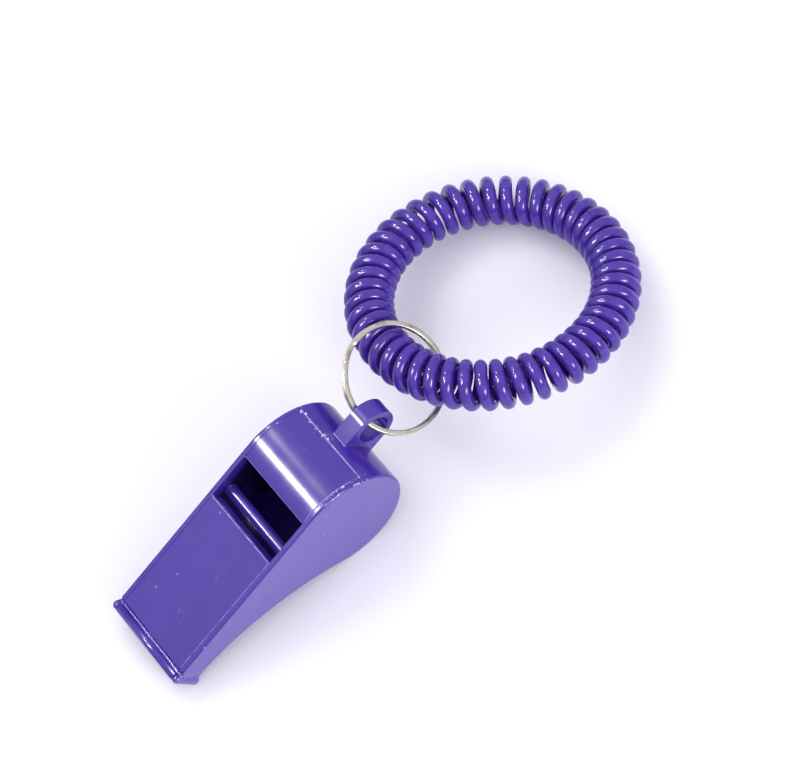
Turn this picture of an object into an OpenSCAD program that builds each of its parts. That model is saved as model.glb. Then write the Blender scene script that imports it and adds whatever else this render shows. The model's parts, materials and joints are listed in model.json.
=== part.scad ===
// Pea whistle on a split ring with a spiral wrist coil, at rest on a table.
// Millimetres, +Z up, +X along the whistle from its mouthpiece toward the coil.

/* [Whistle] */
// Width of the whistle across its side plates
body_w = 21; // [18:0.5:26]
// Outer diameter of the barrel
barrel_d = 25; // [23:0.5:27]
// Distance from the mouth to the barrel's centre
barrel_x = 43.3; // [40:0.1:48]
// Thickness of each side plate
side_wall = 1.2; // [1:0.1:1.6]
// Thickness of the barrel's shell
shell_wall = 1.5; // [1.2:0.1:2]
// Depth of the mouthpiece from its flat top to its underside
mouth_depth = 6.2; // [5.6:0.1:7]
// Radius of the hollow curve under the mouthpiece
underside_r = 48; // [40:1:60]
// Radius of the rolled rim round the mouth
rim_r = 1; // [0.8:0.1:1.2]
// Radius of the shallow groove behind the rim
groove_r = 0.55; // [0.4:0.05:0.7]

/* [Windway and window] */
// Front edge of the window
window_front = 30.9; // [29:0.1:32]
// Rear edge of the window
window_back = 40.8; // [39:0.1:42]
// Thickness of the mouthpiece lid
lid_t = 1.4; // [1.2:0.1:1.6]
// Depth of the windway's floor below the flat top
floor_depth = 3.6; // [3.2:0.1:4]
// Radius of the rounded bar at the end of the windway's floor
bar_r = 1.2; // [1:0.1:1.3]
// Angle above level, in the whistle's own frame, of the seam behind the barrel lid
seam_angle = 34; // [28:1:40]

/* [Lug and ring] */
// Distance from the barrel's centre to the lug's hole
lug_reach = 16.4; // [16:0.1:17]
// Radius of the lug's rounded end
lug_r = 4.6; // [4.5:0.1:5]
// Thickness of the lug
lug_t = 3.8; // [3:0.1:4]
// Radius of the lug's hole
lug_hole_r = 3.2; // [3.1:0.1:3.3]
// Outer diameter of the split ring
ring_d = 22; // [21.8:0.1:22.4]
// Width of the ring's flat wire
ring_w = 1; // [0.8:0.1:1.1]
// Thickness of one turn of the ring's wire
ring_turn_t = 0.65; // [0.5:0.05:0.75]

/* [Pea and coil] */
// Diameter of the pea
pea_d = 9.2; // [7:0.1:10]
// Diameter of the wrist coil, measured to the middle of its tube
coil_d = 48.1; // [47:0.1:49]
// Outer diameter of the coil's tube of turns
coil_tube_d = 10.1; // [9:0.1:10.2]
// Diameter of the plug that joins the coil's two ends
joiner_d = 4.4; // [3:0.1:4.8]

/* [Hidden] */

plastic = [0.33, 0.25, 0.66];
cork = [0.72, 0.55, 0.36];
steel = [0.72, 0.71, 0.66];
$fn = 96;
eps = 0.01;
far = 60;

barrel_r = barrel_d / 2;
barrel_z = -barrel_r;
chamber_r = barrel_r - shell_wall;
inner_w = body_w - 2 * side_wall;
mouth_x = 0.6;
rim_x = mouth_x + 0.6;
rim_top_z = -rim_r / 2;
rim_low_z = -mouth_depth + 0.2;
rim_y = body_w / 2 - rim_r / 2;
groove_x = rim_x + rim_r + 0.3;
groove_z = 0.2;

// The underside's arc leaves the mouth's lower corner and meets the barrel at a tangent.
corner = [4, -mouth_depth];
to_barrel = [barrel_x, barrel_z] - corner;
corner_reach = norm(to_barrel);
along = to_barrel / corner_reach;
arc_along = (underside_r^2 - (underside_r + barrel_r)^2 + corner_reach^2) / (2 * corner_reach);
arc_across = sqrt(underside_r^2 - arc_along^2);
arc_centre = corner + arc_along * along + arc_across * [along[1], -along[0]];
tangent_point = arc_centre
    + ([barrel_x, barrel_z] - arc_centre) * underside_r / (underside_r + barrel_r);

bar_x = window_front + 2.1;
bar_z = -floor_depth + 0.5 - bar_r;
throat_x = bar_x + bar_r;

// The whistle rests on its barrel and on the rim's lower edge.
rest_run = barrel_x - rim_x;
rest_drop = rim_low_z - barrel_z;
rest_pitch = atan2(rest_drop, rest_run)
    + asin((barrel_r - rim_r) / norm([rest_run, rest_drop]));
lift = barrel_r - barrel_x * sin(rest_pitch) - barrel_z * cos(rest_pitch);

lug_x = barrel_x + lug_reach;
lug_z = barrel_z + 0.5;
hole_x = lug_x * cos(rest_pitch) - lug_z * sin(rest_pitch);
hole_z = lug_x * sin(rest_pitch) + lug_z * cos(rest_pitch) + lift;

ring_r = ring_d / 2;
ring_roll = 34.6;
ring_pitch = 23.8;
ring_from_hole = [9.54, 4.17, -0.57];
ring_normal = [cos(ring_roll) * sin(ring_pitch), -sin(ring_roll), cos(ring_roll) * cos(ring_pitch)];
ring_x = hole_x + ring_from_hole[0];
ring_y = ring_from_hole[1];
ring_z = hole_z + ring_from_hole[2];

coil_r = coil_d / 2;
coil_tube_r = coil_tube_d / 2;
coil_tilt = 16.5;
coil_turned = 39.5;
coil_x = hole_x + 35.87;
coil_y = 9.4;
coil_z = coil_r * sin(coil_tilt) + coil_tube_r;
joiner_at = -36;
joiner_arc = 12;

// The frame's origin is under the middle of the whistle and ring.
function ring_half(axis) = ring_r * sqrt(1 - ring_normal[axis]^2) + ring_turn_t * abs(ring_normal[axis]);
front_x = rim_x * cos(rest_pitch) - rim_low_z * sin(rest_pitch) - rim_r;
top_rim_x = rim_x * cos(rest_pitch) - rim_top_z * sin(rest_pitch) - rim_r;
shift_x = (min(front_x, top_rim_x) + ring_x + ring_half(0)) / 2;
shift_y = (max(body_w / 2 + rim_r / 2, ring_y + ring_half(1)) - body_w / 2 - rim_r / 2) / 2;

// Puts a shape drawn in the whistle's own frame at rest on the table.
module at_rest() {
    translate([-shift_x, -shift_y, lift])
        rotate([0, -rest_pitch, 0])
            children();
}

// Extrudes a side profile, drawn with the whistle's height as its Y, about the middle plane.
module across(width) {
    translate([0, width / 2, 0])
        rotate([90, 0, 0])
            linear_extrude(width)
                children();
}

// A round bar across the whistle.
module cross_bar(x, z, radius, width) {
    translate([x, width / 2, z])
        rotate([90, 0, 0])
            cylinder(r = radius, h = width);
}

// Side outline of the whistle without its rim and lug.
module side_outline() {
    difference() {
        union() {
            translate([barrel_x, barrel_z])
                circle(r = barrel_r);
            polygon([
                [mouth_x, 0],
                [barrel_x, 0],
                [barrel_x, barrel_z],
                tangent_point,
                [corner[0], tangent_point[1]],
                corner,
                [mouth_x, -mouth_depth]
            ]);
        }
        translate(arc_centre)
            circle(r = underside_r);
    }
}

// The part of the barrel that its lid covers, from the window to the rear seam.
module lid_sector() {
    polygon([
        [barrel_x, barrel_z],
        [barrel_x + far * cos(seam_angle), barrel_z + far * sin(seam_angle)],
        [barrel_x + far, far],
        [window_back, far],
        [window_back, 0],
        [window_back + lid_t, -lid_t - shell_wall / 2]
    ]);
}

// Everything between the side plates that is open or filled by the two lids.
module inside_outline() {
    translate([barrel_x, barrel_z])
        circle(r = chamber_r);
    polygon([[-far, -floor_depth], [-far, far], [bar_x, far], [bar_x, -floor_depth]]);
    polygon([
        [bar_x, far],
        [bar_x, bar_z + bar_r],
        [throat_x, bar_z],
        [barrel_x - chamber_r, barrel_z],
        [barrel_x, barrel_z],
        [barrel_x, far]
    ]);
    polygon([
        [barrel_x - eps, barrel_z],
        [barrel_x + far * cos(seam_angle), barrel_z + far * sin(seam_angle)],
        [barrel_x + far, far],
        [barrel_x - eps, far]
    ]);
}

// The rolled rim down both sides of the mouth and along its lower edge.
module rim() {
    for (side = [-1, 1]) {
        translate([rim_x, side * rim_y, rim_low_z])
            cylinder(r = rim_r, h = rim_top_z - rim_low_z);
        for (z = [rim_top_z, rim_low_z])
            translate([rim_x, side * rim_y, z])
                sphere(r = rim_r);
    }
    cross_bar(rim_x, rim_low_z, rim_r, 2 * rim_y);
}

// The tub: side plates, underside, barrel wall, rim, lug and the windway's floor with its bar.
module whistle_body() {
    color(plastic)
        at_rest() {
            difference() {
                union() {
                    across(body_w)
                        side_outline();
                    rim();
                    across(lug_t) {
                        translate([lug_x, lug_z])
                            circle(r = lug_r);
                        translate([lug_x - lug_reach + chamber_r, lug_z - lug_r])
                            square([lug_reach - chamber_r, 2 * lug_r]);
                    }
                }
                across(inner_w)
                    inside_outline();
                cross_bar(lug_x, lug_z, lug_hole_r, body_w);
                cross_bar(groove_x, groove_z, groove_r, far);
            }
            cross_bar(bar_x, bar_z, bar_r, inner_w);
        }
}

// The flat plate over the windway, with the rolled upper edge of the mouth.
module mouthpiece_lid() {
    color(plastic)
        at_rest()
            across(inner_w)
                difference() {
                    union() {
                        translate([mouth_x, -lid_t])
                            square([window_front - mouth_x, lid_t]);
                        translate([rim_x, rim_top_z])
                            circle(r = rim_r);
                    }
                    translate([groove_x, groove_z])
                        circle(r = groove_r);
                }
}

// The curved plate over the barrel, from the window's sharp edge to the rear seam.
module barrel_lid() {
    color(plastic)
        at_rest()
            across(inner_w)
                difference() {
                    intersection() {
                        translate([barrel_x, barrel_z])
                            circle(r = barrel_r);
                        lid_sector();
                    }
                    translate([barrel_x, barrel_z])
                        circle(r = chamber_r);
                }
}

// The ball inside the barrel, lying at the bottom.
module pea() {
    color(cork)
        at_rest()
            translate([barrel_x, 0, barrel_z])
                rotate([0, rest_pitch, 0])
                    translate([0, 0, pea_d / 2 + 0.1 - chamber_r])
                        sphere(d = pea_d);
}

// The ring's two turns of flat wire, with a shallow groove between them.
module split_ring() {
    groove = 0.12;
    color(steel)
        translate([ring_x - shift_x, ring_y - shift_y, ring_z])
            rotate([ring_roll, ring_pitch, 0])
                difference() {
                    cylinder(r = ring_r, h = 2 * ring_turn_t, center = true);
                    cylinder(r = ring_r - ring_w, h = far, center = true);
                    rotate_extrude()
                        translate([ring_r, 0])
                            rotate(45)
                                square(groove * sqrt(2), center = true);
                }
}

// Puts a shape drawn about the coil's own axis in its tilted place.
module at_coil() {
    translate([coil_x - shift_x, coil_y - shift_y, coil_z])
        rotate([0, coil_tilt, coil_turned])
            children();
}

// The tube that the coil's turns fill, open where the joiner sits.
module wrist_coil() {
    color(plastic)
        at_coil()
            rotate([0, 0, joiner_at + joiner_arc / 2])
                rotate_extrude(angle = 360 - joiner_arc)
                    translate([coil_r, 0])
                        circle(r = coil_tube_r);
}

// The plug that holds the coil's two ends together inside the turns.
module coil_joiner() {
    color(plastic)
        at_coil()
            rotate([0, 0, joiner_at - joiner_arc / 2])
                rotate_extrude(angle = joiner_arc)
                    translate([coil_r, 0])
                        circle(d = joiner_d);
}

whistle_body();
mouthpiece_lid();
barrel_lid();
pea();
split_ring();
wrist_coil();
coil_joiner();
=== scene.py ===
import json
import logging
import math
import random
from dataclasses import dataclass
from enum import Enum
from typing import Any, Optional, Union

import bmesh
import bpy
from mathutils import Matrix, Vector


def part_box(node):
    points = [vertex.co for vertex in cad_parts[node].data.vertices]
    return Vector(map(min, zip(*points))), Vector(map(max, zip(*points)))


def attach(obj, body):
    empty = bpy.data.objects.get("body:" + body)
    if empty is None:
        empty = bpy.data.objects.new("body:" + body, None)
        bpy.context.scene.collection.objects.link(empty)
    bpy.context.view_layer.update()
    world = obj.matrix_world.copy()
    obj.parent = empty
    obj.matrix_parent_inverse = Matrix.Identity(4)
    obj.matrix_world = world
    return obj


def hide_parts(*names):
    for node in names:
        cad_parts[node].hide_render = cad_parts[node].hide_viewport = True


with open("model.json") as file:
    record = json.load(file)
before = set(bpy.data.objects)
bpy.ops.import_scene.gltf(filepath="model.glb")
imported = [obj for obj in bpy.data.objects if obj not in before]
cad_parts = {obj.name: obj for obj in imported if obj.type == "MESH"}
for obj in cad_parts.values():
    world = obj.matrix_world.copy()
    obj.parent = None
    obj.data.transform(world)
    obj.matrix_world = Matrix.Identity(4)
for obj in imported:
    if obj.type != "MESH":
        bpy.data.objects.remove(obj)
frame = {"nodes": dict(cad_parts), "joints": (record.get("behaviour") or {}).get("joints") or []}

log = logging.getLogger("pea_whistle")

MM = 0.001
Colour = tuple[float, float, float, float]


# ---------------------------------------------------------------- shader maths


class Signal:
    """A shader socket that takes part in ordinary Python arithmetic."""

    def __init__(self, finish: "NodeMaterial", socket: bpy.types.NodeSocket) -> None:
        """Keeps the socket and the material whose tree it belongs to.

        Args:
            finish: The material that the socket is part of.
            socket: The output socket.
        """
        self.finish = finish
        self.socket = socket

    def _with(self, operation: str, first: Any, second: Any) -> "Signal":
        """One Math node on two operands.

        Args:
            operation: The Math node's operation.
            first: Left operand, a Signal or a number.
            second: Right operand, a Signal or a number.

        Returns:
            The node's value as a Signal.
        """
        return self.finish.node("ShaderNodeMath", {"operation": operation}, {0: first, 1: second})

    def __add__(self, other: Any) -> "Signal":
        """Sum."""
        return self._with("ADD", self, other)

    __radd__ = __add__

    def __sub__(self, other: Any) -> "Signal":
        """Difference."""
        return self._with("SUBTRACT", self, other)

    def __rsub__(self, other: Any) -> "Signal":
        """Reflected difference, so that 1 - mask works."""
        return self._with("SUBTRACT", other, self)

    def __mul__(self, other: Any) -> "Signal":
        """Product."""
        return self._with("MULTIPLY", self, other)

    __rmul__ = __mul__

    def above(self, level: float, soft: float) -> "Signal":
        """1 over a level, 0 under it, with a soft edge."""
        return self.between(level - soft, level + soft)

    def near(self, centre: float, half: float) -> "Signal":
        """1 at a value, falling to 0 at a distance of about half from it."""
        return 1 - (self - centre).size().between(half * 0.5, half * 1.3)

    def size(self) -> "Signal":
        """Absolute value."""
        return self._with("ABSOLUTE", self, 0.0)

    def most(self, other: Any) -> "Signal":
        """The greater of two."""
        return self._with("MAXIMUM", self, other)

    def between(self, low: float, high: float) -> "Signal":
        """Rises smoothly from 0 at low to 1 at high.

        Args:
            low: Value that maps to 0.
            high: Value that maps to 1.

        Returns:
            The mapped Signal.
        """
        settings = {"interpolation_type": "SMOOTHSTEP", "clamp": True}
        return self.finish.node("ShaderNodeMapRange", settings, {0: self, 1: low, 2: high})


class NodeMaterial:
    """Builds one node material whose surface is a Principled shader."""

    def __init__(self, name: str) -> None:
        """Makes the material with an empty tree, a shader and an output.

        Args:
            name: The material's name.
        """
        self.material = bpy.data.materials.new(name)
        self.material.use_nodes = True
        self.tree = self.material.node_tree
        self.tree.nodes.clear()
        self.shader = self.tree.nodes.new("ShaderNodeBsdfPrincipled")
        output = self.tree.nodes.new("ShaderNodeOutputMaterial")
        self.tree.links.new(self.shader.outputs[0], output.inputs["Surface"])

    def connect(self, node: bpy.types.Node, values: dict[Union[int, str], Any]) -> None:
        """Sets or links a node's inputs.

        Args:
            node: The node.
            values: Input name or number to a Signal or a plain value.
        """
        for key, value in values.items():
            socket = node.inputs[key]
            if isinstance(value, Signal):
                self.tree.links.new(value.socket, socket)
            else:
                socket.default_value = value

    def node(
        self,
        kind: str,
        settings: Optional[dict[str, Any]] = None,
        values: Optional[dict[Union[int, str], Any]] = None,
        out: Union[int, str] = 0,
    ) -> Signal:
        """Adds any node.

        Args:
            kind: The node's type name.
            settings: The node's own settings, set before its sockets.
            values: Input name or number to a Signal or a plain value.
            out: The output that is wanted.

        Returns:
            That output as a Signal.
        """
        node = self.tree.nodes.new(kind)
        for key, value in (settings or {}).items():
            setattr(node, key, value)
        self.connect(node, values or {})
        return Signal(self, node.outputs[out])

    def place(self, origin: Vector, turn: tuple[float, float, float]) -> Signal:
        """Object coordinates, seen from a frame that is moved and turned.

        Args:
            origin: The frame's origin in the row frame, in metres.
            turn: The frame's turn in radians.

        Returns:
            Coordinates in that frame.
        """
        raw = self.node("ShaderNodeTexCoord", out="Object")
        return self.node(
            "ShaderNodeMapping",
            {"vector_type": "TEXTURE"},
            {"Vector": raw, "Location": tuple(origin), "Rotation": turn},
        )

    def noise(self, place: Signal, size: float, detail: float = 3.0, rough: float = 0.5) -> Signal:
        """Fractal noise with blobs of about a given size.

        Args:
            place: Coordinates in metres.
            size: Size of the blobs in metres.
            detail: Octaves.
            rough: How strong the finer octaves are.

        Returns:
            Noise about 0.5.
        """
        values = {"Vector": place, "Scale": 1.0 / size, "Detail": detail, "Roughness": rough}
        return self.node("ShaderNodeTexNoise", {}, values)

    def stretched(self, place: Signal, scale: tuple[float, float, float]) -> Signal:
        """Coordinates multiplied along each axis."""
        return self.node("ShaderNodeVectorMath", {"operation": "MULTIPLY"}, {0: place, 1: scale})

    def parts(self, place: Signal) -> tuple[Signal, ...]:
        """The three coordinates of a place."""
        split = self.tree.nodes.new("ShaderNodeSeparateXYZ")
        self.connect(split, {0: place})
        return tuple(Signal(self, output) for output in split.outputs)

    def distance(self, first: Signal, second: Signal) -> Signal:
        """Length of a two-dimensional vector."""
        return self.node("ShaderNodeMath", {"operation": "SQRT"}, {0: first * first + second * second})

    def tint(self, mask: Signal, first: Any, second: Any) -> Signal:
        """A colour between two others.

        Args:
            mask: 0 for the first, 1 for the second.
            first: Colour or Signal.
            second: Colour or Signal.

        Returns:
            The mixed colour.
        """
        settings = {"data_type": "RGBA", "clamp_factor": True}
        return self.node("ShaderNodeMix", settings, {0: mask, 6: first, 7: second}, out=2)

    def bump(self, height: Signal, strength: float, distance: float) -> Signal:
        """A bumped normal from a height."""
        values = {"Height": height, "Strength": strength, "Distance": distance}
        return self.node("ShaderNodeBump", {}, values)

    def surface(self, **values: Any) -> bpy.types.Material:
        """Sets the shader's sockets, with spaces in their names given as underscores.

        Returns:
            The finished material.
        """
        self.connect(self.shader, {name.replace("_", " "): value for name, value in values.items()})
        return self.material


def rgb(red: float, green: float, blue: float) -> Colour:
    """A linear colour from display values between 0 and 255.

    Args:
        red: Display value of red.
        green: Display value of green.
        blue: Display value of blue.

    Returns:
        The colour with full alpha.
    """

    def linear(value: float) -> float:
        """One channel."""
        share = value / 255
        return share / 12.92 if share <= 0.04045 else ((share + 0.055) / 1.055) ** 2.4

    return (linear(red), linear(green), linear(blue), 1.0)


# -------------------------------------------------------------------- finishes


@dataclass(frozen=True)
class Spot:
    """A shaded point in the whistle's own frame."""

    x: Signal
    y: Signal
    z: Signal
    radius: Signal


@dataclass(frozen=True)
class MouldedViolet:
    """Hard glossy moulded plastic with faint flow marks, specks and scuffs, plus painted light:
    highlight lines on the plate edges broken by wear, a sheen on the side plates, glints on the rear
    edges and shade inside the barrel.
    """

    name: str = "whistle_moulded_violet"
    body: Colour = rgb(66, 40, 156)
    deep: Colour = rgb(61, 36, 148)
    # Pale tone of real specks and scuffs, and of the painted highlight lines on the plate edges and
    # seams.
    pale_specks_and_highlight: Colour = rgb(160, 146, 222)
    # Lighter, greyer violet painted on the side plates as a reflected sheen.
    painted_side_sheen: Colour = rgb(112, 98, 176)
    # Near-white painted into glints on the barrel's rear edges.
    painted_glint: Colour = rgb(226, 222, 244)
    shade: Colour = rgb(12, 6, 28)
    gloss: float = 0.2
    soft: float = 0.05 * MM

    barrel_x: float = 43.3 * MM
    barrel_r: float = 12.5 * MM
    plate_y: float = 9.3 * MM
    side_y: float = 10.5 * MM
    rim_end: float = 3.5 * MM
    plate_end: float = 30.9 * MM
    window_end: float = 40.8 * MM
    rear_seam: float = 53.66 * MM
    rear_low: float = -7 * MM
    bar_x: float = 33.0 * MM
    bar_z: float = -4.3 * MM
    bar_r: float = 1.2 * MM

    def spot(self, m: NodeMaterial, place: Signal) -> Spot:
        """The shaded point, with its distance from the barrel's axis."""
        x, y, z = m.parts(place)
        return Spot(x, y, z, m.distance(x - self.barrel_x, z + self.barrel_r))

    def inside(self, m: NodeMaterial, at: Spot) -> Signal:
        """Painted shade: the depths of the barrel and the window, where little light comes.

        Args:
            m: The material that is being built.
            at: The shaded point.

        Returns:
            1 deep inside, else 0.
        """
        between_walls = 1 - at.y.size().above(self.plate_y + 0.1 * MM, 0.04 * MM)
        barrel = 1 - at.radius.between(self.barrel_r - 3.2 * MM, self.barrel_r - 1.1 * MM)
        depth = (1 - at.z.between(-3.4 * MM, -0.6 * MM)) * at.z.above(-8 * MM, 0.5 * MM)
        from_bar = m.distance(at.x - self.bar_x, at.z - self.bar_z)
        off_bar = from_bar.above(self.bar_r + 0.12 * MM, 0.1 * MM)
        pocket = depth * off_bar * at.x.above(self.plate_end - 0.3 * MM, 0.1 * MM)
        return between_walls * barrel.most(pocket * (1 - at.x.above(self.window_end, 1 * MM)))

    def edges(self, at: Spot) -> Signal:
        """Painted highlight lines along the edges and seams of the two plates, which the caller breaks
        with wear.

        Args:
            at: The shaded point.

        Returns:
            1 on an edge, else 0.
        """
        top = at.z.above(-0.5 * MM, 0.1 * MM)
        flat = top * (1 - at.x.above(self.plate_end + 0.2 * MM, self.soft))
        curved = at.radius.above(self.barrel_r - 0.25 * MM, self.soft)
        curved = curved * at.x.above(self.window_end - 0.1 * MM, self.soft)
        curved = curved * (1 - at.x.above(self.rear_seam + 0.1 * MM, self.soft))
        within = at.y.above(-self.plate_y - 0.1 * MM, 0.04 * MM)
        within = within * (1 - at.y.above(self.plate_y + 0.1 * MM, 0.04 * MM))
        window = at.x.near(self.plate_end, 0.13 * MM)
        window = window.most(at.x.near(self.window_end + 0.14 * MM, 0.2 * MM))
        rear = at.x.near(self.rear_seam, 0.11 * MM) * at.z.above(self.rear_low, 0.1 * MM) * 0.8
        along = at.y.near(-self.plate_y, 0.11 * MM) * at.x.above(self.rim_end, 0.2 * MM)
        return ((window * top).most(rear) * within).most(along * flat.most(curved))

    def painted_glints(self, m: NodeMaterial, at: Spot, place: Signal) -> Signal:
        """Painted glints: near-white spots on the barrel's rear edges and far seam.

        Args:
            m: The material that is being built.
            at: The shaded point.
            place: The same point as coordinates.

        Returns:
            1 on a crumb, else 0.
        """
        glint_spots = m.noise(place, 0.7 * MM, 2.0).between(0.58, 0.66)
        behind = at.x.above(46 * MM, 1 * MM) * at.z.above(self.rear_low, 0.5 * MM)
        skin = at.radius.above(self.barrel_r - 0.3 * MM, self.soft)
        wide = 0.3 * MM
        rails = at.y.near(-self.plate_y - 0.1 * MM, wide).most(at.y.near(-self.side_y, wide))
        seam = at.x.near(self.rear_seam, wide) * at.y.above(0.0, 1 * MM)
        return glint_spots * behind * skin * rails.most(seam)

    def build(self, origin: Vector, turn: tuple[float, float, float]) -> bpy.types.Material:
        """Makes the material.

        Args:
            origin: The whistle frame's origin in the row frame.
            turn: Its turn in radians.

        Returns:
            The material.
        """
        m = NodeMaterial(self.name)
        place = m.place(origin, turn)
        at = self.spot(m, place)
        flow = m.noise(m.stretched(place, (0.35, 1.0, 1.0)), 14 * MM, 2.0)
        cloud = m.noise(place, 4 * MM, 4.0)
        cells = {"Vector": place, "Scale": 1 / (5.2 * MM)}
        sown = m.node("ShaderNodeTexVoronoi", {"feature": "F1"}, cells)
        specks = (0.055 - sown).between(0.0, 0.02)
        patch = m.noise(place, 7 * MM, 2.0).between(0.62, 0.72)
        hairs = m.noise(m.stretched(place, (1.0, 0.12, 1.0)), 0.25 * MM, 2.0).between(0.6, 0.7)
        scuff = patch * hairs * 0.35
        wear = m.noise(place, 1.6 * MM, 3.0).between(0.3, 0.6)
        sides = at.y.size().above(self.side_y - 0.08 * MM, self.soft)
        colour = m.tint(flow.between(0.3, 0.7), self.body, self.deep)
        # Painted reflection: the side plates get a lighter, greyer sheen.
        colour = m.tint(sides * (0.75 - cloud * 0.2), colour, self.painted_side_sheen)
        colour = m.tint(specks * 0.5 + scuff, colour, self.pale_specks_and_highlight)
        # Painted highlight: pale lines along the plate edges and seams, broken by wear noise.
        colour = m.tint(self.edges(at) * (wear * 0.7 + 0.3) * 0.85, colour, self.pale_specks_and_highlight)
        # Painted highlight: near-white glints on the barrel's rear edges and seam.
        colour = m.tint(self.painted_glints(m, at, place), colour, self.painted_glint)
        # Painted shade: the depths of the barrel and the window are darkened to near black.
        colour = m.tint(self.inside(m, at) * 0.9, colour, self.shade)
        skin = m.noise(place, 0.5 * MM, 3.0) * 0.5 + cloud + specks * 0.6
        return m.surface(
            Base_Color=colour,
            Roughness=self.gloss + (cloud - 0.5) * 0.12 + scuff * 0.5 + specks * 0.2,
            IOR=1.58,
            Normal=m.bump(skin, 0.1, 0.05 * MM),
        )


@dataclass(frozen=True)
class FlexibleViolet:
    """Glossy flexible plastic of the spiral cord."""

    name: str = "cord_flexible_violet"
    body: Colour = rgb(74, 46, 158)
    deep: Colour = rgb(66, 38, 148)
    gloss: float = 0.16

    def build(self) -> bpy.types.Material:
        """Makes the material.

        Returns:
            The material.
        """
        m = NodeMaterial(self.name)
        place = m.node("ShaderNodeTexCoord", out="Object")
        along = m.node("ShaderNodeAttribute", {"attribute_name": "along"}, out="Fac")
        drift = m.node(
            "ShaderNodeTexNoise", {"noise_dimensions": "1D"}, {"W": along * 120.0, "Detail": 2.0}
        )
        cloud = m.noise(place, 2.2 * MM, 3.0)
        colour = m.tint(drift.between(0.35, 0.65), self.body, self.deep)
        rough = self.gloss + (cloud - 0.5) * 0.12
        skin = cloud + m.noise(place, 0.4 * MM, 2.0) * 0.4
        return m.surface(
            Base_Color=colour, Roughness=rough, IOR=1.5, Normal=m.bump(skin, 0.07, 0.05 * MM)
        )


@dataclass(frozen=True)
class PlatedWire:
    """Nickel-plated spring wire, slightly yellow, with patches of wear that are rougher and painted
    darker as dark reflections.
    """

    name: str = "ring_plated_wire"
    bright: Colour = rgb(204, 200, 186)
    # A darker tone painted into the patches of wear as dark reflections.
    dark_reflection_tone: Colour = rgb(104, 98, 80)
    gloss: float = 0.2

    def build(self) -> bpy.types.Material:
        """Makes the material.

        Returns:
            The material.
        """
        m = NodeMaterial(self.name)
        place = m.node("ShaderNodeTexCoord", out="Object")
        along = m.node("ShaderNodeAttribute", {"attribute_name": "along"}, out="Fac")
        wear_and_dark_reflection = m.noise(place, 2.5 * MM, 4.0, 0.6).between(0.5, 0.72)
        drawn = m.node(
            "ShaderNodeTexNoise", {"noise_dimensions": "1D"}, {"W": along * 900.0, "Detail": 3.0}
        )
        grain = m.noise(place, 0.3 * MM, 3.0)
        # Painted reflection: patches of wear are darkened as dark reflections, and made rougher below.
        colour = m.tint(wear_and_dark_reflection * 0.7 + (drawn - 0.5) * 0.5, self.bright, self.dark_reflection_tone)
        rough = self.gloss + wear_and_dark_reflection * 0.18 + (grain - 0.5) * 0.15
        return m.surface(
            Base_Color=colour,
            Metallic=1.0,
            Roughness=rough,
            Normal=m.bump(grain + drawn * 0.6, 0.2, 0.04 * MM),
        )


@dataclass(frozen=True)
class PressedCork:
    """Fine cork with dark pores."""

    name: str = "pea_pressed_cork"
    light: Colour = rgb(196, 158, 112)
    brown: Colour = rgb(150, 108, 66)
    pore: Colour = rgb(88, 58, 34)

    def build(self) -> bpy.types.Material:
        """Makes the material.

        Returns:
            The material.
        """
        m = NodeMaterial(self.name)
        place = m.node("ShaderNodeTexCoord", out="Object")
        cells = {"Vector": place, "Scale": 1 / (1.1 * MM)}
        grains = m.node("ShaderNodeTexVoronoi", {"feature": "F1"}, cells, "Color")
        shade = m.noise(place, 0.8 * MM, 4.0)
        pores = m.noise(place, 0.5 * MM, 2.0).between(0.62, 0.7)
        mixed = m.tint(shade.between(0.3, 0.7), self.light, self.brown)
        mixed = m.tint(m.node("ShaderNodeRGBToBW", {}, {0: grains}) * 0.3, mixed, self.light)
        return m.surface(
            Base_Color=m.tint(pores, mixed, self.pore),
            Roughness=0.75 + shade * 0.2,
            Normal=m.bump(shade - pores, 0.5, 0.15 * MM),
        )


@dataclass(frozen=True)
class PaleTable:
    """Plain pale table top with a hardly visible tooth."""

    name: str = "table_pale"
    tone: Colour = rgb(250, 248, 253)

    def build(self) -> bpy.types.Material:
        """Makes the material.

        Returns:
            The material.
        """
        m = NodeMaterial(self.name)
        place = m.node("ShaderNodeTexCoord", out="Object")
        tooth = m.noise(place, 1.5 * MM, 3.0)
        return m.surface(
            Base_Color=self.tone, Roughness=0.75, Normal=m.bump(tooth, 0.05, 0.05 * MM)
        )


# ------------------------------------------------------------- geometry nodes


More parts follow.
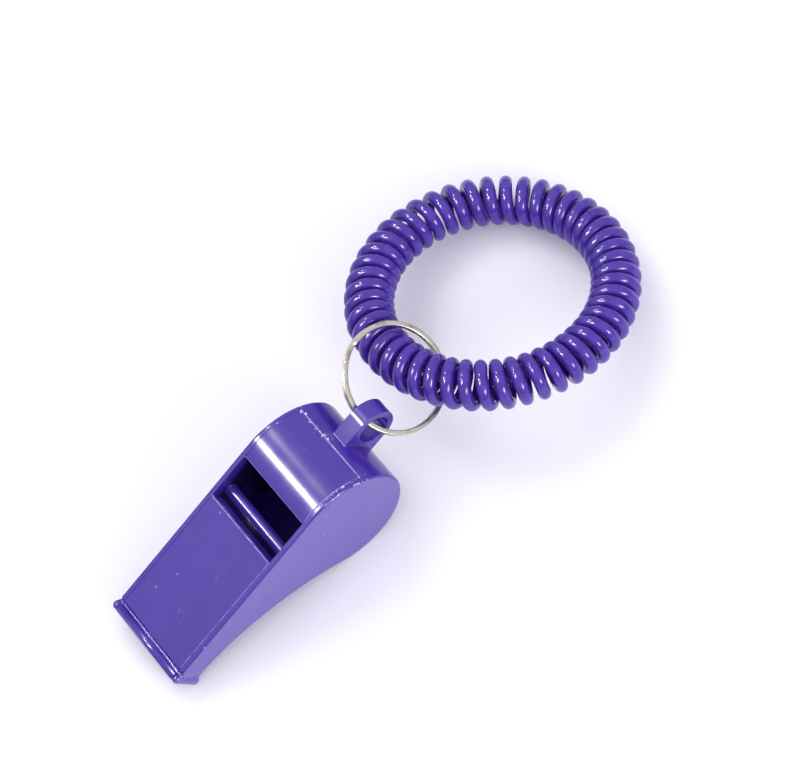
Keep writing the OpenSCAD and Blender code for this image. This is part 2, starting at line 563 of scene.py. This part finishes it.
class GeometryTree:
    """A Geometry Nodes tree with named inputs that ends in Realize Instances and Set Material."""

    def __init__(self, name: str, sizes: dict[str, tuple[str, Any]]) -> None:
        """Makes the tree's interface.

        Args:
            name: The tree's name.
            sizes: Input name to its socket type and value.
        """
        self.tree = bpy.data.node_groups.new(name, "GeometryNodeTree")
        face = self.tree.interface
        face.new_socket("Geometry", in_out="INPUT", socket_type="NodeSocketGeometry")
        face.new_socket("Geometry", in_out="OUTPUT", socket_type="NodeSocketGeometry")
        self.sizes = sizes
        self.identifiers = {}
        for label, (kind, _value) in sizes.items():
            socket = face.new_socket(label, in_out="INPUT", socket_type=kind)
            self.identifiers[label] = socket.identifier
        self.inputs = self.tree.nodes.new("NodeGroupInput")
        self.end = self.tree.nodes.new("NodeGroupOutput")

    def given(self, label: str) -> bpy.types.NodeSocket:
        """One of the tree's own inputs."""
        return self.inputs.outputs[label]

    def node(
        self,
        kind: str,
        settings: Optional[dict[str, Any]] = None,
        values: Optional[dict[Any, Any]] = None,
    ) -> bpy.types.Node:
        """Adds a node.

        Args:
            kind: The node's type name.
            settings: The node's own settings.
            values: Input name or number to a socket or a plain value.

        Returns:
            The node.
        """
        node = self.tree.nodes.new(kind)
        for key, value in (settings or {}).items():
            setattr(node, key, value)
        for key, value in (values or {}).items():
            if isinstance(value, bpy.types.NodeSocket):
                self.tree.links.new(value, node.inputs[key])
            else:
                node.inputs[key].default_value = value
        return node

    def close(self, geometry: bpy.types.NodeSocket, material: bpy.types.Material) -> None:
        """Ends the tree.

        Args:
            geometry: The made geometry.
            material: Its material.
        """
        real = self.node("GeometryNodeRealizeInstances", {}, {0: geometry})
        values = {"Geometry": real.outputs[0], "Material": material}
        dressed = self.node("GeometryNodeSetMaterial", {}, values)
        self.tree.links.new(dressed.outputs[0], self.end.inputs[0])

    def run(self, carrier: bpy.types.Object, name: str) -> bpy.types.Mesh:
        """Evaluates the tree on a carrier object, which is then removed.

        Args:
            carrier: The object that holds the tree's input geometry.
            name: Name of the resulting mesh.

        Returns:
            The plain mesh.
        """
        modifier = carrier.modifiers.new("nodes", "NODES")
        modifier.node_group = self.tree
        for label, (_kind, value) in self.sizes.items():
            modifier[self.identifiers[label]] = value
        graph = bpy.context.evaluated_depsgraph_get()
        graph.update()
        mesh = bpy.data.meshes.new_from_object(carrier.evaluated_get(graph))
        mesh.name = name
        carrier.modifiers.remove(modifier)
        bpy.data.objects.remove(carrier)
        return mesh


class Section(Enum):
    """Cross-section of a swept wire."""

    ROUND = "round"
    FLAT = "flat"


@dataclass
class Sweep:
    """Sweeps a cross-section along a line of points."""

    section: Section
    width: float
    height: float
    sides: int = 16
    fillet: float = 0.2 * MM

    def carrier(self, name: str, line: list[Vector], radii: list[float]) -> bpy.types.Object:
        """A poly curve through the line.

        Args:
            name: Its name.
            line: Points in metres.
            radii: Share of the full section at each point.

        Returns:
            The curve object.
        """
        curve = bpy.data.curves.new(name, "CURVE")
        curve.dimensions = "3D"
        spline = curve.splines.new("POLY")
        spline.points.add(len(line) - 1)
        for point, place, radius in zip(spline.points, line, radii):
            point.co = (*place, 1.0)
            point.radius = radius
        carrier = bpy.data.objects.new(name, curve)
        bpy.context.scene.collection.objects.link(carrier)
        return carrier

    def build(
        self, name: str, line: list[Vector], radii: list[float], material: bpy.types.Material
    ) -> bpy.types.Mesh:
        """Makes the swept mesh.

        Args:
            name: Name of the mesh.
            line: Points in metres.
            radii: Share of the full section at each point.
            material: The finish.

        Returns:
            The mesh.
        """
        sizes = {
            "Width": ("NodeSocketFloat", self.width),
            "Height": ("NodeSocketFloat", self.height),
            "Fillet": ("NodeSocketFloat", self.fillet),
            "Sides": ("NodeSocketInt", self.sides),
        }
        tree = GeometryTree(f"{name}_sweep", sizes)
        if self.section is Section.ROUND:
            halves = {0: tree.given("Width"), 1: 0.5}
            half = tree.node("ShaderNodeMath", {"operation": "MULTIPLY"}, halves)
            profile = tree.node(
                "GeometryNodeCurvePrimitiveCircle",
                {},
                {"Resolution": tree.given("Sides"), "Radius": half.outputs[0]},
            ).outputs[0]
        else:
            box = tree.node(
                "GeometryNodeCurvePrimitiveQuadrilateral",
                {},
                {"Width": tree.given("Width"), "Height": tree.given("Height")},
            )
            profile = tree.node(
                "GeometryNodeFilletCurve",
                {"mode": "POLY"},
                {"Curve": box.outputs[0], "Count": tree.given("Sides"), "Radius": tree.given("Fillet")},
            ).outputs[0]
        length = tree.node("GeometryNodeSplineParameter")
        upright = tree.node(
            "GeometryNodeSetCurveNormal",
            {"mode": "Z_UP" if self.section is Section.FLAT else "MINIMUM_TWIST"},
            {"Curve": tree.given("Geometry")},
        )
        marked = tree.node(
            "GeometryNodeStoreNamedAttribute",
            {"data_type": "FLOAT", "domain": "POINT"},
            {"Geometry": upright.outputs[0], "Name": "along", "Value": length.outputs["Length"]},
        )
        swept = tree.node(
            "GeometryNodeCurveToMesh",
            {},
            {"Curve": marked.outputs[0], "Profile Curve": profile, "Fill Caps": True},
        )
        smooth = tree.node("GeometryNodeSetShadeSmooth", {}, {"Geometry": swept.outputs[0]})
        tree.close(smooth.outputs[0], material)
        return tree.run(self.carrier(f"{name}_line", line, radii), name)


def tidy_mesh(mesh: bpy.types.Mesh, corner: float = 35.0) -> None:
    """Merges doubles, points faces outwards and marks sharp corners.

    Args:
        mesh: The mesh.
        corner: Edges that turn more than this many degrees are sharp.
    """
    work = bmesh.new()
    work.from_mesh(mesh)
    bmesh.ops.remove_doubles(work, verts=work.verts, dist=1e-7)
    bmesh.ops.recalc_face_normals(work, faces=work.faces)
    for face in work.faces:
        face.smooth = True
    for edge in work.edges:
        edge.smooth = len(edge.link_faces) == 2 and edge.calc_face_angle(0.0) < math.radians(corner)
    work.to_mesh(mesh)
    work.free()


def add_piece(
    name: str, mesh: bpy.types.Mesh, body: str, stands_for: str
) -> bpy.types.Object:
    """Puts a finished mesh in the scene as a piece of the object.

    Args:
        name: The piece's name.
        mesh: Its mesh, in the row frame.
        body: The body that it rides on.
        stands_for: The CAD node that it replaces.

    Returns:
        The new object.
    """
    piece = bpy.data.objects.new(name, mesh)
    bpy.context.scene.collection.objects.link(piece)
    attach(piece, body)
    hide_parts(stands_for)
    log.info("%s: %d faces, rides on %s", name, len(mesh.polygons), body)
    return piece


def joint_at(name: str) -> Vector:
    """The point of a joint, in metres."""
    return Vector(next(j["pos_m"] for j in frame["joints"] if j["name"] == name))


# ------------------------------------------------------------------- the parts


@dataclass
class Whistle:
    """The moulded whistle: a tub with side plates and two flat or curved plates set in it."""

    barrel_x: float = MouldedViolet.barrel_x
    barrel_r: float = MouldedViolet.barrel_r
    width: float = 2 * MouldedViolet.side_y
    pitch: float = math.radians(24.4388)
    outer_round: float = 0.6 * MM
    seam_round: float = 0.14 * MM
    rim_end: float = 2.3 * MM

    def origin(self) -> Vector:
        """The whistle's own origin, at the top of its mouth, in the row frame."""
        centre = joint_at("pea_roll")
        return centre - self.turned() @ Vector((self.barrel_x, 0, -self.barrel_r))

    def turned(self) -> Matrix:
        """The whistle's turn from its own frame to the row frame."""
        return Matrix.Rotation(-self.pitch, 3, "Y")

    def finish(self) -> bpy.types.Material:
        """The whistle's plastic, laid out along the whistle."""
        return MouldedViolet().build(self.origin(), (0.0, -self.pitch, 0.0))

    def softened(self, node: str, name: str, material: bpy.types.Material) -> bpy.types.Object:
        """A copy of a CAD node with rounded edges.

        Args:
            node: The CAD node.
            name: The piece's name.
            material: Its finish.

        Returns:
            The piece.
        """
        mesh = frame["nodes"][node].data.copy()
        mesh.name = name
        work = bmesh.new()
        work.from_mesh(mesh)
        bmesh.ops.remove_doubles(work, verts=work.verts, dist=1e-6)
        bmesh.ops.dissolve_limit(
            work, angle_limit=math.radians(0.5), verts=work.verts, edges=work.edges, delimit={"NORMAL"}
        )
        weight = work.edges.layers.float.new("bevel_weight_edge")
        middle = joint_at("pea_roll").y
        back = self.turned().inverted()
        origin = self.origin()
        for edge in work.edges:
            on_rim = min((back @ (v.co - origin)).x for v in edge.verts) < self.rim_end
            if on_rim or len(edge.link_faces) != 2 or edge.calc_face_angle(0.0) < math.radians(28):
                edge.smooth = True
                continue
            outside = min(abs(v.co.y - middle) for v in edge.verts) > self.width / 2 - 0.05 * MM
            edge[weight] = 1.0 if outside else self.seam_round / self.outer_round
            edge.smooth = False
        for face in work.faces:
            face.smooth = True
        work.to_mesh(mesh)
        work.free()
        mesh.materials.clear()
        mesh.materials.append(material)
        piece = add_piece(name, mesh, "whistle", node)
        bevel = piece.modifiers.new("rounded_edges", "BEVEL")
        bevel.limit_method = "WEIGHT"
        bevel.width = self.outer_round
        bevel.segments = 3
        bevel.use_clamp_overlap = False
        bevel.harden_normals = True
        return piece

    def build(self) -> None:
        """Makes the whistle's three moulded pieces."""
        material = self.finish()
        self.softened("whistle_body", "whistle_tub", material)
        self.softened("mouthpiece_lid", "windway_plate", material)
        self.softened("barrel_lid", "barrel_plate", material)


@dataclass
class Pea:
    """The cork ball at the bottom of the barrel."""

    diameter: float = 9.2 * MM
    shrink: float = 0.99
    uneven: float = 0.006
    ripples: tuple[float, float, float] = (1900.0, 2300.0, 2100.0)

    def build(self) -> None:
        """Makes the ball with slightly uneven sides."""
        low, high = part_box("pea")
        centre = (low + high) / 2
        work = bmesh.new()
        bmesh.ops.create_icosphere(work, subdivisions=5, radius=self.diameter / 2 * self.shrink)
        for vert in work.verts:
            x, y, z = (place * ripple for place, ripple in zip(vert.co, self.ripples))
            vert.co *= 1 + self.uneven * math.sin(x + 1) * math.sin(y) * math.cos(z)
        bmesh.ops.translate(work, verts=work.verts, vec=centre)
        mesh = bpy.data.meshes.new("cork_pea")
        for face in work.faces:
            face.smooth = True
        work.to_mesh(mesh)
        work.free()
        mesh.materials.append(PressedCork().build())
        add_piece("cork_pea", mesh, "pea", "pea")


@dataclass
class SplitRing:
    """Two turns of flat spring wire, stacked, with a short ramp from one to the other."""

    outer_r: float = 11 * MM
    wire_w: float = 1.0 * MM
    turn_t: float = 0.65 * MM
    roll: float = math.radians(34.6)
    pitch: float = math.radians(23.8)
    split_at: float = math.radians(150)
    ramp: float = math.radians(34)
    steps: int = 192

    def line(self) -> list[Vector]:
        """The wire's middle line, flat about the ring's own axis.

        Returns:
            Points in metres.
        """
        radius = self.outer_r - self.wire_w / 2
        total = 4 * math.pi - self.ramp
        ramp_from = 2 * math.pi - self.ramp
        points = []
        for step in range(2 * self.steps + 1):
            turned = total * step / (2 * self.steps)
            share = min(1.0, max(0.0, (turned - ramp_from) / self.ramp))
            lift = (share * share * (3 - 2 * share) - 0.5) * self.turn_t
            angle = self.split_at + turned
            points.append(Vector((radius * math.cos(angle), radius * math.sin(angle), lift)))
        return points

    def build(self) -> None:
        """Makes the ring and puts it where the CAD ring is."""
        line = self.line()
        radii = [1.0] * len(line)
        sweep = Sweep(Section.FLAT, self.wire_w, self.turn_t * 0.97, sides=3, fillet=0.16 * MM)
        mesh = sweep.build("wire_ring", line, radii, PlatedWire().build())
        low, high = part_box("split_ring")
        place = Matrix.Translation((low + high) / 2)
        place = place @ Matrix.Rotation(self.pitch, 4, "Y") @ Matrix.Rotation(self.roll, 4, "X")
        mesh.transform(place)
        tidy_mesh(mesh)
        add_piece("wire_ring", mesh, "ring", "split_ring")


@dataclass
class WristCoil:
    """A closed spiral of flexible cord with a plug between its two ends."""

    ring_r: float = 24.05 * MM
    tube_r: float = 5.05 * MM
    cord_d: float = 2.56 * MM
    turns: float = 48.0
    per_turn: int = 44
    tilt: float = math.radians(16.5)
    turned: float = math.radians(39.5)
    joined_at: float = math.radians(-35.4)
    phase: float = math.radians(90)
    plug_d: float = 4.2 * MM
    plug_arc: float = math.radians(26)
    crowding: float = 0.4
    crowding_from: float = math.radians(-80)
    second_crowding: float = 0.2
    second_crowding_from: float = math.radians(-115)
    seed: int = 7

    def place(self) -> Matrix:
        """From the coil's own frame to the row frame."""
        turn = Matrix.Rotation(self.turned, 4, "Z") @ Matrix.Rotation(self.tilt, 4, "Y")
        return Matrix.Translation(joint_at("coil_turn")) @ turn

    def drift(self, share: float) -> float:
        """How far a turn has slid along the coil from even spacing.

        The turns lie wider on one side of the coil than on the other, with a smaller swing twice round.

        Args:
            share: Place along the cord, from 0 to 1.

        Returns:
            Angle in radians.
        """
        around = 2 * math.pi * share
        slid = self.crowding * math.sin(around + self.crowding_from)
        slid += self.second_crowding * math.sin(2 * around + self.second_crowding_from)
        return 2 * math.pi / self.turns * slid

    def line(self) -> list[Vector]:
        """The cord's middle line in the coil's own frame, worked out turn by turn.

        Returns:
            Points in metres.
        """
        steps = round(self.turns * self.per_turn)
        turn_r = self.tube_r - self.cord_d / 2 - 0.05 * MM
        dice = random.Random(self.seed)
        swell = [dice.uniform(-0.07, 0.0) * MM for _ in range(math.ceil(self.turns) + 2)]
        points = []
        for step in range(steps + 1):
            share = step / steps
            turn = share * self.turns
            around = self.joined_at + 2 * math.pi * share + self.drift(share)
            roll = self.phase - 2 * math.pi * turn
            first = int(turn)
            local = turn - first
            radius = turn_r + swell[first] * (1 - local) + swell[first + 1] * local
            reach = self.ring_r + radius * math.cos(roll)
            points.append(
                Vector((reach * math.cos(around), reach * math.sin(around), radius * math.sin(roll)))
            )
        return points

    def end_radii(self, count: int) -> list[float]:
        """Full width along the cord, with its two cut ends slightly rounded.

        Args:
            count: Number of points.

        Returns:
            Share of the full width at each point.
        """
        rounded = [0.8, 0.97]
        return rounded + [1.0] * (count - 4) + rounded[::-1]

    def plug(self, material: bpy.types.Material) -> bpy.types.Object:
        """The ribbed plug inside the turns, between the cord's ends.

        Args:
            material: Its finish.

        Returns:
            The piece.
        """
        steps = 60
        line, radii = [], []
        for step in range(steps + 1):
            share = step / steps
            angle = self.joined_at + self.drift(0.0) + (share - 0.5) * self.plug_arc
            line.append(Vector((self.ring_r * math.cos(angle), self.ring_r * math.sin(angle), 0)))
            dome = min(1.0, math.sqrt(max(0.02, 1 - (abs(share - 0.5) * 2) ** 6)))
            radii.append(dome * (0.93 + 0.07 * math.cos(share * 14 * math.pi)))
        sweep = Sweep(Section.ROUND, self.plug_d, self.plug_d, sides=24)
        mesh = sweep.build("end_plug", line, radii, material)
        mesh.transform(self.place())
        tidy_mesh(mesh, 60)
        return add_piece("end_plug", mesh, "coil", "coil_joiner")

    def build(self) -> None:
        """Makes the cord and its plug, and says how long the cord is."""
        material = FlexibleViolet().build()
        line = self.line()
        sweep = Sweep(Section.ROUND, self.cord_d, self.cord_d, sides=16)
        mesh = sweep.build("spiral_cord", line, self.end_radii(len(line)), material)
        place = self.place()
        mesh.transform(place)
        tidy_mesh(mesh, 60)
        cord = add_piece("spiral_cord", mesh, "coil", "wrist_coil")
        plug = self.plug(material)
        path = [place @ point for point in line]
        length = sum((b - a).length for a, b in zip(path, path[1:]))
        log.info("spiral_cord: %.3f m of cord in %.1f turns", length, self.turns)


# ---------------------------------------------------------------------- studio


class Lamp(Enum):
    """What a studio light does."""

    FRONT = "soft light from the near side"
    BACK = "soft light from the far side"
    STRIP = "narrow panel seen only in gloss"
    SPARK = "small round lamp seen only in gloss"


@dataclass(frozen=True)
class AreaLight:
    """One area light, aimed at the object."""

    role: Lamp
    place: tuple[float, float, float]
    size: tuple[float, float]
    power: float

    def build(self, aim_at: Vector) -> None:
        """Adds the light.

        Args:
            aim_at: The point that it faces.
        """
        name = self.role.name.lower()
        data = bpy.data.lights.new(name, "AREA")
        data.shape = "ELLIPSE" if self.role is Lamp.SPARK else "RECTANGLE"
        data.size, data.size_y = self.size
        data.energy = self.power
        lamp = bpy.data.objects.new(name, data)
        lamp.visible_diffuse = self.role in (Lamp.FRONT, Lamp.BACK)
        lamp.visible_glossy = self.role is not Lamp.BACK
        bpy.context.scene.collection.objects.link(lamp)
        lamp.location = self.place
        aim = aim_at - Vector(self.place)
        lamp.rotation_euler = aim.to_track_quat("-Z", "Y").to_euler()


@dataclass
class Studio:
    """Camera, pale table and soft lights."""

    from_barrel: tuple[float, float, float] = (26.28 * MM, 11.82 * MM, -12.5 * MM)
    azimuth: float = math.radians(12.77)
    elevation: float = math.radians(62.86)
    roll: float = math.radians(-27.39)
    distance: float = 627.9 * MM
    lens: float = 144.0
    horizon: float = 0.4
    zenith: float = 1.0
    zenith_from: float = 0.5
    lit_point: tuple[float, float, float] = (0.02, 0.0, 0.01)
    lights: tuple[AreaLight, ...] = (
        AreaLight(Lamp.FRONT, (0.12, -0.75, 0.42), (0.4, 0.3), 2.6),
        AreaLight(Lamp.BACK, (0.05, 0.5, 0.75), (0.45, 0.45), 1.6),
        AreaLight(Lamp.STRIP, (0.12, -0.75, 0.42), (0.26, 0.1), 4.0),
        AreaLight(Lamp.STRIP, (-0.36, 0.12, 0.76), (0.12, 0.34), 5.0),
        AreaLight(Lamp.SPARK, (-0.28, 0.30, 0.55), (0.05, 0.05), 1.6),
        AreaLight(Lamp.SPARK, (-0.02, 0.42, 0.62), (0.05, 0.05), 1.6),
    )

    def camera(self) -> None:
        """Makes the scene's camera."""
        data = bpy.data.cameras.new("camera")
        data.lens = self.lens
        data.sensor_width = 36.0
        data.clip_start = 0.01
        data.clip_end = 20.0
        aim = Vector(
            (
                math.cos(self.elevation) * math.sin(self.azimuth),
                math.cos(self.elevation) * math.cos(self.azimuth),
                -math.sin(self.elevation),
            )
        )
        level = Vector((math.cos(self.azimuth), -math.sin(self.azimuth), 0))
        upward = level.cross(aim)
        right = math.cos(self.roll) * level + math.sin(self.roll) * upward
        up = math.cos(self.roll) * upward - math.sin(self.roll) * level
        camera = bpy.data.objects.new("camera", data)
        bpy.context.scene.collection.objects.link(camera)
        turn = Matrix((right, up, -aim)).transposed().to_4x4()
        target = joint_at("pea_roll") + Vector(self.from_barrel)
        camera.matrix_world = Matrix.Translation(target - aim * self.distance) @ turn
        bpy.context.scene.camera = camera

    def table(self) -> None:
        """Makes the pale table."""
        work = bmesh.new()
        bmesh.ops.create_grid(work, x_segments=2, y_segments=2, size=4.0)
        mesh = bpy.data.meshes.new("table")
        work.to_mesh(mesh)
        work.free()
        mesh.materials.append(PaleTable().build())
        table = bpy.data.objects.new("table", mesh)
        bpy.context.scene.collection.objects.link(table)

    def air(self) -> None:
        """Sets the soft light from all round, dimmer near the horizon."""
        world = bpy.data.worlds.new("studio")
        world.use_nodes = True
        back = world.node_tree.nodes["Background"]
        back.inputs["Color"].default_value = (0.96, 0.95, 1.0, 1.0)
        nodes, links = world.node_tree.nodes, world.node_tree.links
        split = nodes.new("ShaderNodeSeparateXYZ")
        links.new(nodes.new("ShaderNodeTexCoord").outputs["Generated"], split.inputs[0])
        fade = nodes.new("ShaderNodeMapRange")
        links.new(split.outputs["Z"], fade.inputs[0])
        for socket, value in zip(fade.inputs[1:5], (0.0, self.zenith_from, self.horizon, self.zenith)):
            socket.default_value = value
        links.new(fade.outputs[0], back.inputs["Strength"])
        bpy.context.scene.world = world
        bpy.context.scene.view_settings.view_transform = "Standard"

    def build(self) -> None:
        """Makes the whole studio apart from the camera."""
        self.table()
        self.air()
        for light in self.lights:
            light.build(Vector(self.lit_point))


def main() -> None:
    """Builds the studio and every piece."""
    logging.basicConfig(level=logging.INFO, format="%(name)s %(message)s")
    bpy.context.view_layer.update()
    studio = Studio()
    studio.camera()
    WristCoil().build()
    SplitRing().build()
    Pea().build()
    Whistle().build()
    studio.build()


if __name__ == "__main__":
    main()
